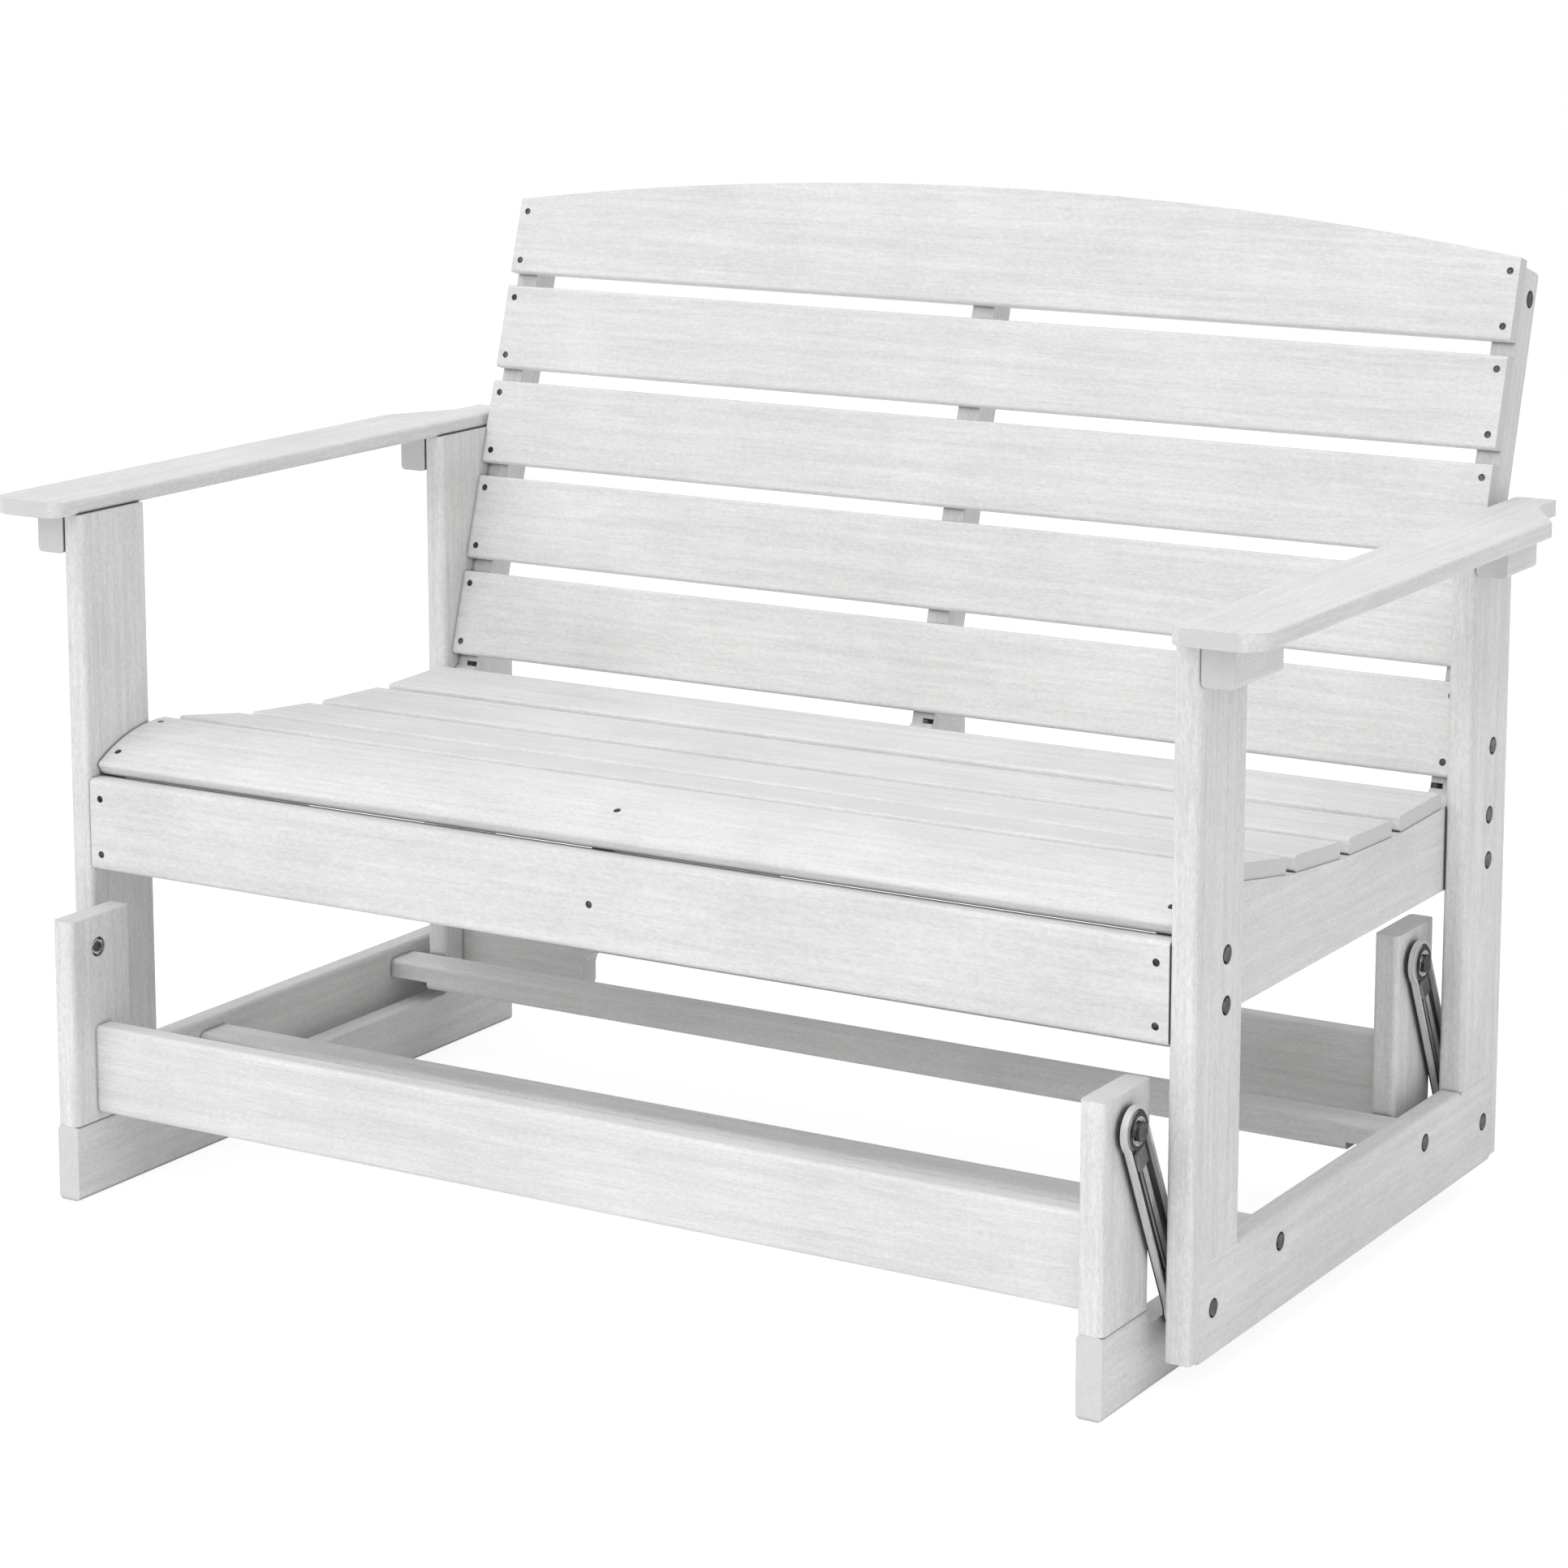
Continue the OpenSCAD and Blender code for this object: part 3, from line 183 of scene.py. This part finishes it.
class Nodes:
    """A node tree that is built up by calls. Lengths are in metres."""

    def __init__(self, tree):
        self.tree = tree
        self.tree.nodes.clear()

    def add(self, kind, **settings):
        node = self.tree.nodes.new(kind)
        for name, value in settings.items():
            setattr(node, name, value)
        return node

    def join(self, source, target):
        self.tree.links.new(source, target)

    def value(self, source, target):
        """Links a socket, or sets a constant on the target."""
        if isinstance(source, bpy.types.NodeSocket):
            self.join(source, target)
        else:
            target.default_value = source

    def math(self, operation, a, b=0.0):
        node = self.add("ShaderNodeMath", operation=operation)
        self.value(a, node.inputs[0])
        self.value(b, node.inputs[1])
        return node.outputs[0]

    def times(self, a, b):
        return self.math("MULTIPLY", a, b)

    def complement(self, a):
        """What is missing from 1."""
        return self.math("SUBTRACT", 1.0, a)

    def weighted(self, *parts):
        """The sum of values, each times its share."""
        total = 0.0
        for share, part in parts:
            total = self.math("ADD", total, self.times(part, share))
        return total

    def range(self, source, spread, out_spread=(0, 1)):
        """Takes one pair of values to another, and stays within it."""
        node = self.add("ShaderNodeMapRange")
        self.join(source, node.inputs["Value"])
        node.inputs["From Min"].default_value, node.inputs["From Max"].default_value = spread
        node.inputs["To Min"].default_value, node.inputs["To Max"].default_value = out_spread
        return node.outputs["Result"]

    def mix(self, factor, a, b):
        """Mixes two colours, which have these numbers among the node's sockets."""
        node = self.add("ShaderNodeMix", data_type="RGBA")
        self.value(factor, node.inputs[0])
        self.value(a, node.inputs[6])
        self.value(b, node.inputs[7])
        return node.outputs[2]

    def blend(self, factor, a, b):
        """Mixes two shaders."""
        node = self.add("ShaderNodeMixShader")
        for source, target in zip((factor, a, b), node.inputs):
            self.join(source, target)
        return node.outputs[0]

    def noise(self, vector, scale, detail, roughness=NOISE_ROUGHNESS):
        node = self.add("ShaderNodeTexNoise")
        self.join(vector, node.inputs["Vector"])
        node.inputs["Scale"].default_value = scale
        node.inputs["Detail"].default_value = detail
        node.inputs["Roughness"].default_value = roughness
        return node.outputs["Fac"]

    def place(self, vector, scale, rotation=(0, 0, 0)):
        node = self.add("ShaderNodeMapping")
        self.join(vector, node.inputs["Vector"])
        node.inputs["Scale"].default_value = scale
        node.inputs["Rotation"].default_value = rotation
        return node.outputs["Vector"]

    def split(self, vector):
        """The parts of a vector along X, Y and Z."""
        node = self.add("ShaderNodeSeparateXYZ")
        self.join(vector, node.inputs[0])
        return node.outputs

    def openness(self, reach):
        """1 in the open, less where another surface is nearer than reach."""
        node = self.add("ShaderNodeAmbientOcclusion", samples=GAP_SAMPLES)
        node.inputs["Distance"].default_value = reach
        return node.outputs["AO"]

    def relief(self, height, edge, distance, level):
        """Normals with rounded edges, and a relief of this height on them."""
        bevel = self.add("ShaderNodeBevel", samples=EDGE_SAMPLES)
        bevel.inputs["Radius"].default_value = edge
        bump = self.add("ShaderNodeBump")
        bump.inputs["Strength"].default_value = level
        bump.inputs["Distance"].default_value = distance
        self.join(height, bump.inputs["Height"])
        self.join(bevel.outputs["Normal"], bump.inputs["Normal"])
        return bump.outputs["Normal"]

    def background(self, strength):
        """White light from all around."""
        node = self.add("ShaderNodeBackground")
        node.inputs["Color"].default_value = WHITE
        self.value(strength, node.inputs["Strength"])
        return node.outputs[0]


def new_material(name):
    material = bpy.data.materials.new(name)
    material.use_nodes = True
    return material, Nodes(material.node_tree)


def add_object(name, data):
    obj = bpy.data.objects.new(name, data)
    bpy.context.collection.objects.link(obj)
    return obj


def end_shader(n, colour, roughness, normal, metallic=0.0, specular=0.5):
    shader = n.add("ShaderNodeBsdfPrincipled")
    n.value(colour, shader.inputs["Base Color"])
    n.value(roughness, shader.inputs["Roughness"])
    n.value(metallic, shader.inputs["Metallic"])
    shader.inputs["Specular IOR Level"].default_value = specular
    n.join(normal, shader.inputs["Normal"])
    output = n.add("ShaderNodeOutputMaterial")
    n.join(shader.outputs["BSDF"], output.inputs["Surface"])


def lumber(name, axis, turn=0.0, streak=1.0):
    """Solid plastic lumber: brushed lines along the board, faint clouds, duller sawn ends, and
    painted shade in narrow gaps.
    """
    material, n = new_material(name)
    coords = n.add("ShaderNodeTexCoord")
    turned = n.place(coords.outputs["Object"], (1, 1, 1), (turn, 0, 0))
    line_sets = []
    for along, across, detail, roughness, share in LUMBER_LINES:
        scale = [along if i == axis else across for i in range(3)]
        line_sets.append((share, n.noise(n.place(turned, scale), 1.0, detail, roughness)))
    lines = n.weighted(*line_sets)
    cloud = n.noise(turned, CLOUD_REPEATS, CLOUD_DETAIL)
    tone = n.weighted((1 - CLOUD_SHARE, lines), (CLOUD_SHARE, cloud))
    half = TONE_HALF / streak
    tones = (TONE_MIDDLE - half, TONE_MIDDLE + half)
    colour = n.mix(n.range(tone, tones), LUMBER_DEEP, LUMBER_PALE)

    # Sawn ends, where the surface faces along the grain
    facing = n.split(n.place(coords.outputs["Normal"], (1, 1, 1), (turn, 0, 0)))
    end = n.range(n.math("ABSOLUTE", facing[axis]), END_FACING)
    speckle = n.noise(coords.outputs["Object"], SPECKLE_REPEATS, SPECKLE_DETAIL)
    ends = n.times(end, n.range(speckle, SPECKLE_SPREAD, SPECKLE_LEVEL))
    colour = n.mix(ends, colour, LUMBER_END)

    # Painted shade in the narrow gaps between boards
    colour = n.mix(n.range(n.openness(PAINTED_SHADE_REACH), PAINTED_SHADE_OPEN), LUMBER_PAINTED_SHADE, colour)

    roughness = n.range(lines, NOISE_SPREAD, LUMBER_ROUGHNESS)
    normal = n.relief(lines, LUMBER_EDGE, LUMBER_RELIEF, LUMBER_RELIEF_LEVEL * streak)
    end_shader(n, colour, roughness, normal, specular=LUMBER_SPECULAR)
    return material


def metal(name, dark, pale, rough_low, rough_high, grain, level):
    """Steel with faint clouds of wear and a fine surface."""
    material, n = new_material(name)
    coords = n.add("ShaderNodeTexCoord")
    wear = n.noise(coords.outputs["Object"], grain / WEAR_WIDTH, WEAR_DETAIL)
    fine = n.noise(coords.outputs["Object"], grain, FINE_DETAIL, FINE_ROUGHNESS)
    colour = n.mix(n.range(wear, NOISE_SPREAD), dark, pale)
    roughness = n.range(fine, NOISE_SPREAD, (rough_low, rough_high))
    normal = n.relief(fine, METAL_EDGE, METAL_RELIEF, level)
    end_shader(n, colour, roughness, normal, metallic=1.0)
    return material


def arm_metal(name, pivot_y):
    """Pressed steel with painted reflections: painted highlights on rims and beads, fainter on
    lands, painted shade in troughs, collars and corners.
    """
    material, n = new_material(name)
    coords = n.add("ShaderNodeTexCoord")
    facing = n.split(coords.outputs["Normal"])
    place = n.split(coords.outputs["Object"])
    back = n.math("SUBTRACT", place["Y"], pivot_y)
    up = n.math("SUBTRACT", place["Z"], ARM_PIVOT_Z)
    across = n.math("ADD", n.times(back, math.cos(ARM_LEAN)), n.times(up, math.sin(ARM_LEAN)))
    off_line = n.math("ABSOLUTE", across)
    rise = n.math("SUBTRACT", n.math("ABSOLUTE", place["X"]), ARM_INNER_X)

    # Painted highlights go on the walls and tops of the rims and a line along each bead; the rest
    # is painted shade
    flat = n.range(n.math("ABSOLUTE", facing["X"]), ARM_FLAT)
    low = n.range(rise, ARM_COLLAR_RISE, (1, 0))
    rim = n.times(low, n.range(rise, ARM_RIM_RISE))
    on_line = n.range(off_line, ARM_LINE_HALF, (ARM_LINE_HIGHLIGHT, 0))
    line = n.times(n.range(rise, ARM_BEAD_RISE), on_line)
    land = n.range(rise, ARM_LAND_RISE)
    low_line = n.times(line, n.complement(land))
    grey_land = n.times(n.times(n.times(land, n.complement(rim)), ARM_LAND_HIGHLIGHT), low)
    tops = n.times(flat, n.math("MAXIMUM", rim, n.math("MAXIMUM", low_line, grey_land)))
    walls = n.times(n.complement(flat), n.times(low, n.range(rise, ARM_WALL_RISE)))

    polish = n.noise(n.place(coords.outputs["Object"], POLISH_REPEATS), 1.0, POLISH_DETAIL)
    painted_highlight = n.times(n.math("ADD", tops, walls), n.range(polish, POLISH_SPREAD, POLISH_LEVEL))
    # The steel's colour mixes its painted shade and its painted highlight
    colour = n.mix(painted_highlight, ARM_PAINTED_SHADE, ARM_PAINTED_HIGHLIGHT)
    smooth = n.range(polish, NOISE_SPREAD, ARM_ROUGHNESS)
    roughness = n.math("ADD", smooth, n.times(painted_highlight, ARM_HIGHLIGHT_ROUGHER))
    metallic = n.range(painted_highlight, (0, 1), (1, ARM_HIGHLIGHT_METALLIC))
    normal = n.relief(polish, ARM_EDGE, METAL_RELIEF, ARM_RELIEF_LEVEL)
    end_shader(n, colour, roughness, normal, metallic=metallic)
    return material


def paint(obj, material):
    obj.data.materials.clear()
    obj.data.materials.append(material)


def paint_nodes():
    """Gives every CAD node its material, by the record's slot and by the way its boards run."""
    boards = {"x": lumber("lumber_along_x", 0),
              "y": lumber("lumber_along_y", 1),
              "z": lumber("lumber_along_z", 2, streak=UPRIGHT_STREAK),
              "back": lumber("lumber_up_back", 2, turn=RECLINE)}
    grain = dict.fromkeys(GRAIN_ALONG_Y, "y")
    grain.update(dict.fromkeys(GRAIN_ALONG_Z, "z"))
    grain.update(dict.fromkeys(GRAIN_UP_BACK, "back"))
    arms = {end: arm_metal("arm_steel_" + end, pivot) for end, pivot in ARM_PIVOT_Y.items()}
    metals = {slot: metal(slot, *looks) for slot, looks in METALS.items()}
    slots = {part["node"]: part["material_slot"] for part in frame["record"]["subparts"]}
    for name, obj in frame["nodes"].items():
        if slots[name] == "arm_steel":
            paint(obj, arms["front" if "front" in name else "rear"])
        elif slots[name] in metals:
            paint(obj, metals[slots[name]])
        else:
            paint(obj, boards[grain.get(name, "x")])
    cut_corner("armrest_left", -1, boards["y"])
    cut_corner("armrest_right", 1, boards["y"])


def trimmed(source, planes):
    """A copy of a convex mesh, cut along planes and closed; what their normals point to goes."""
    piece = bmesh.new()
    piece.from_mesh(source)
    bmesh.ops.remove_doubles(piece, verts=piece.verts, dist=WELD)
    for point, normal in planes:
        everything = piece.verts[:] + piece.edges[:] + piece.faces[:]
        cut = bmesh.ops.bisect_plane(piece, geom=everything, plane_co=point, plane_no=normal,
                                     clear_outer=True)
        rim = [item for item in cut["geom_cut"] if isinstance(item, bmesh.types.BMEdge)]
        bmesh.ops.edgeloop_fill(piece, edges=rim)
    bmesh.ops.recalc_face_normals(piece, faces=piece.faces)
    mesh = bpy.data.meshes.new(source.name + "_part")
    piece.to_mesh(mesh)
    piece.free()
    return mesh


def cut_corner(node, side, material):
    """Shows an armrest with its rear outer corner cut off."""
    source = frame["nodes"][node].data
    run, rise = CORNER_IN[0] - CORNER_OUT[0], CORNER_IN[1] - CORNER_OUT[1]
    inner = (side * CORNER_IN[0], CORNER_IN[1], 0)
    front = [(inner, (0, 1, 0)), (inner, (side * rise, -run, 0))]
    rear = [(inner, (0, -1, 0)), (inner, (side, 0, 0))]
    both = bmesh.new()
    for planes in (front, rear):
        part = trimmed(source, planes)
        both.from_mesh(part)
        bpy.data.meshes.remove(part)

    # The two parts become one where they meet
    seam = [face for face in both.faces
            if all(abs(vert.co.y - CORNER_IN[1]) < WELD for vert in face.verts)]
    bmesh.ops.delete(both, geom=seam, context="FACES_ONLY")
    bmesh.ops.remove_doubles(both, verts=both.verts, dist=WELD)
    for face in both.faces:
        face.smooth = False
    mesh = bpy.data.meshes.new(node + "_shown")
    both.to_mesh(mesh)
    both.free()
    shown = add_object(node + "_shown", mesh)
    paint(shown, material)
    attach(shown, "seat_frame")
    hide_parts(node)


def make_floor():
    """Pale ground that still takes the bench's shadow."""
    mesh = bpy.data.meshes.new("floor")
    corners = [(-FLOOR_HALF, -FLOOR_HALF, 0), (FLOOR_HALF, -FLOOR_HALF, 0),
               (FLOOR_HALF, FLOOR_HALF, 0), (-FLOOR_HALF, FLOOR_HALF, 0)]
    mesh.from_pydata(corners, [], [(0, 1, 2, 3)])
    floor = add_object("floor", mesh)
    material, n = new_material("floor")
    diffuse = n.add("ShaderNodeBsdfDiffuse")
    diffuse.inputs["Color"].default_value = FLOOR_COLOUR
    glow = n.add("ShaderNodeEmission")
    glow.inputs["Strength"].default_value = FLOOR_GLOW
    path = n.add("ShaderNodeLightPath")
    lift = n.times(path.outputs["Is Camera Ray"], FLOOR_LIFT)
    output = n.add("ShaderNodeOutputMaterial")
    n.join(n.blend(lift, diffuse.outputs[0], glow.outputs[0]), output.inputs["Surface"])
    paint(floor, material)


def make_surroundings():
    """White where the camera looks, soft grey as light, and darker low down in the steel."""
    world = bpy.data.worlds.new("surroundings")
    bpy.context.scene.world = world
    world.use_nodes = True
    n = Nodes(world.node_tree)
    path = n.add("ShaderNodeLightPath")
    height = n.split(n.add("ShaderNodeTexCoord").outputs["Generated"])["Z"]
    light = n.background(n.range(height, (0, 1), SKY_LEVEL))
    mirror = n.background(n.range(height, MIRROR_HEIGHT, MIRROR_LEVEL))
    lit = n.blend(path.outputs["Is Glossy Ray"], light, mirror)
    shown = n.blend(path.outputs["Is Camera Ray"], lit, n.background(1.0))
    output = n.add("ShaderNodeOutputWorld")
    n.join(shown, output.inputs["Surface"])


def make_key_light():
    """A wide soft light from the front and above, a little from the left."""
    data = bpy.data.lights.new("key", "SUN")
    data.energy = KEY_LEVEL
    data.angle = KEY_SPREAD
    key = add_object("key", data)
    key.rotation_euler = KEY_TURN


def make_camera():
    data = bpy.data.cameras.new("camera")
    data.sensor_width = CAMERA_SENSOR
    data.lens = CAMERA_LENS
    data.shift_y = CAMERA_SHIFT_Y
    data.dof.use_dof = False
    camera = add_object("camera", data)
    camera.location = CAMERA_PLACE
    camera.rotation_euler = (math.radians(90 - CAMERA_PITCH), 0, math.radians(CAMERA_YAW))
    bpy.context.scene.camera = camera


make_camera()
paint_nodes()
make_floor()
make_surroundings()
make_key_light()
bpy.context.scene.view_settings.view_transform = "Standard"
